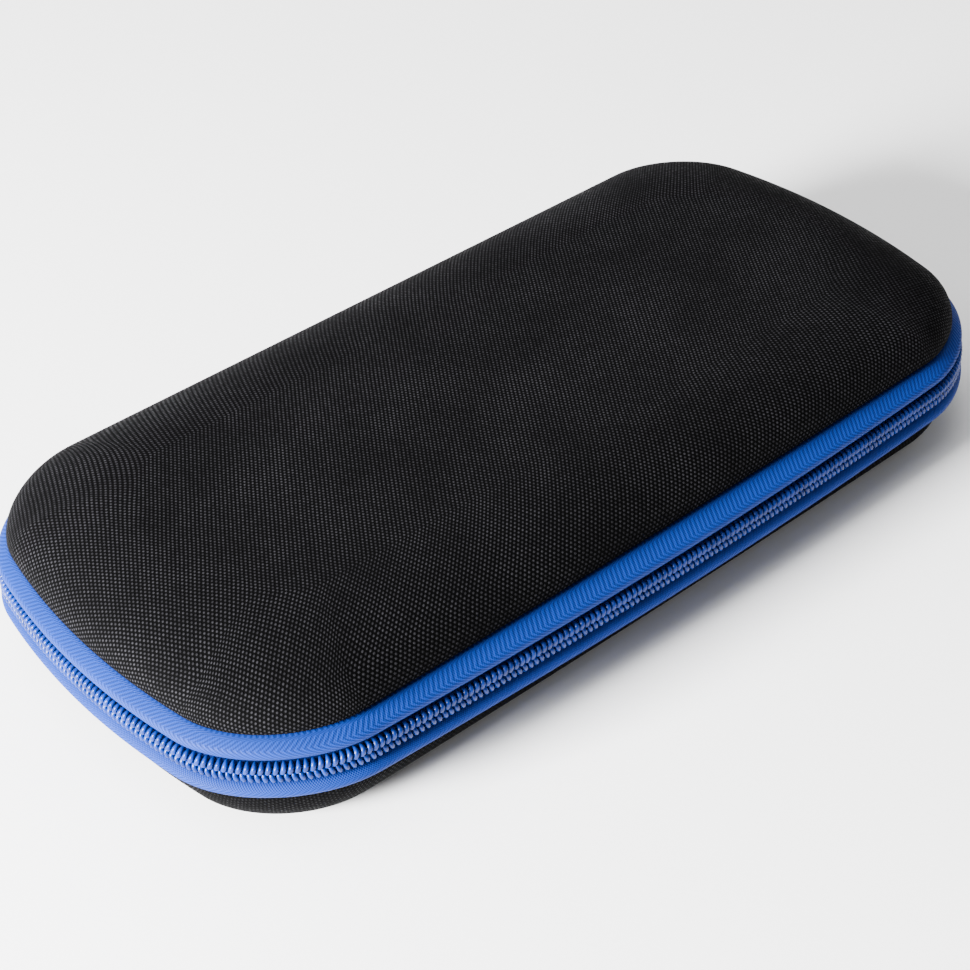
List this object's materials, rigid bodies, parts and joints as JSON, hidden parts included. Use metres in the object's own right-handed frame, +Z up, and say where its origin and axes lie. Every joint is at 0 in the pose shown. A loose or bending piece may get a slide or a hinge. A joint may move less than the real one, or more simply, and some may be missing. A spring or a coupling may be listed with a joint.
{
  "type": "zip-up carrying case",
  "caption": "Hard-shell zip-up carrying case for a small handheld device, with fabric spine, coil zip, slider, net pocket and elastic strap.",
  "frame": {"origin": "middle of the base's flat underside, on the surface the case stands on", "axes": "+X along the case's length, +Y towards the fabric spine at the back, +Z up"},
  "size_m": [0.2376, 0.1241, 0.0405],
  "materials": {
    "shell": "black coarse nylon weave laminated to moulded foam",
    "lining": "black brushed knit",
    "zip_tape": "blue herringbone woven polyester tape",
    "zip_coil": "blue nylon monofilament, satin",
    "trim": "black ribbed elastic and binding tape",
    "net": "black open polyester net",
    "slider_metal": "black enamelled zinc, worn at its edges"
  },
  "bodies": {
    "base": {"base_shell": "shell", "base_lining": "lining", "base_rim_binding": "trim", "lower_zip_tape": "zip_tape", "lower_zip_coil": "zip_coil", "elastic_strap": "trim"},
    "spine": {"spine_fabric": "shell", "spine_lining": "lining", "spine_stiffener": "trim", "upper_tape_end_right": "zip_tape", "lower_tape_end_right": "zip_tape", "upper_coil_end_right": "zip_coil", "lower_coil_end_right": "zip_coil", "upper_tape_end_left": "zip_tape", "lower_tape_end_left": "zip_tape", "upper_coil_end_left": "zip_coil", "lower_coil_end_left": "zip_coil", "upper_top_stop": "slider_metal", "lower_top_stop": "slider_metal", "bottom_stop": "slider_metal"},
    "lid": {"lid_shell": "shell", "lid_lining": "lining", "lid_rim_binding": "trim", "upper_zip_tape": "zip_tape", "upper_zip_coil": "zip_coil", "net_pocket": "net", "pocket_hem": "trim"},
    "slider": {"slider_body": "slider_metal"},
    "pull": {"pull_tab": "slider_metal"}
  },
  "joints": [
    {"name": "spine_fold", "type": "hinge", "parent": "base", "child": "spine", "pos_m": [0, 0.05465, 0.0129], "axis": [-1, 0, 0], "range_deg": [0, 85]},
    {"name": "lid_fold", "type": "hinge", "parent": "spine", "child": "lid", "pos_m": [0, 0.05465, 0.0281], "axis": [-1, 0, 0], "range_deg": [0, 85]},
    {"name": "slider_travel", "type": "slide", "parent": "spine", "child": "slider", "axis": [1, 0, 0], "range_m": [0, 0.0335]},
    {"name": "pull_swing", "type": "hinge", "parent": "slider", "child": "pull", "pos_m": [0.045, 0.0605, 0.0205], "axis": [0, 0, 1], "range_deg": [0, 180]}
  ],
  "couplings": [
    {"joint": "lid_fold", "follows": "spine_fold", "ratio": 1}
  ]
}
